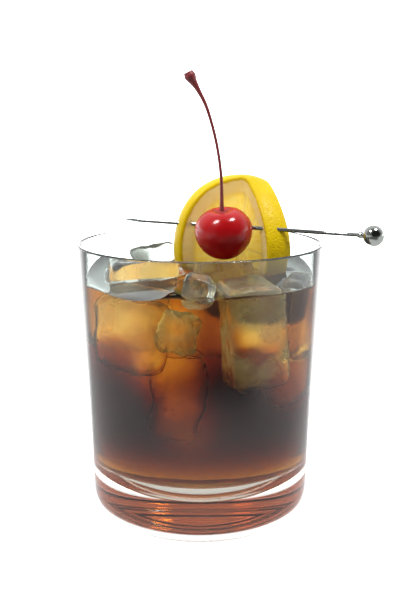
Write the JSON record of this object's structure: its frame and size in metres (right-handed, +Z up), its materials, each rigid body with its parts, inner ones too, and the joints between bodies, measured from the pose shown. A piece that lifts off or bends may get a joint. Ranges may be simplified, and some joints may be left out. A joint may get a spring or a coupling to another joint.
{
  "type": "iced coffee liqueur cocktail in a tumbler",
  "caption": "Dark coffee liqueur drink over ice in a clear thick-based tumbler, with a folded lemon slice and a stemmed cherry on a steel pick.",
  "frame": {"origin": "centre of the tumbler's flat foot, on its underside", "axes": "+Z up along the tumbler's axis; +X towards the side where the pick's ball sticks out; -Y towards the open side of the folded lemon slice, where the cherry shows"},
  "size_m": [0.1056, 0.086, 0.1587],
  "materials": {
    "glass": "clear polished soda-lime glass",
    "drink": "clear dark brown liquid, amber where thin",
    "ice": "wet melting ice with a cloudy core",
    "lemon": "waxy pored yellow rind, pale pith and juicy translucent flesh",
    "cherry": "glossy syrup-wet translucent red skin",
    "stem": "dyed brownish burgundy stalk, slightly wet",
    "steel": "polished stainless steel"
  },
  "bodies": {
    "root": {"tumbler": "glass", "drink": "drink", "ice_left": "ice", "ice_shard": "ice", "ice_right": "ice", "ice_middle": "ice", "ice_far_right": "ice", "ice_nub": "ice", "lemon_slice": "lemon", "cherry": "cherry", "cherry_stem": "stem", "pick": "steel"}
  },
  "joints": []
}
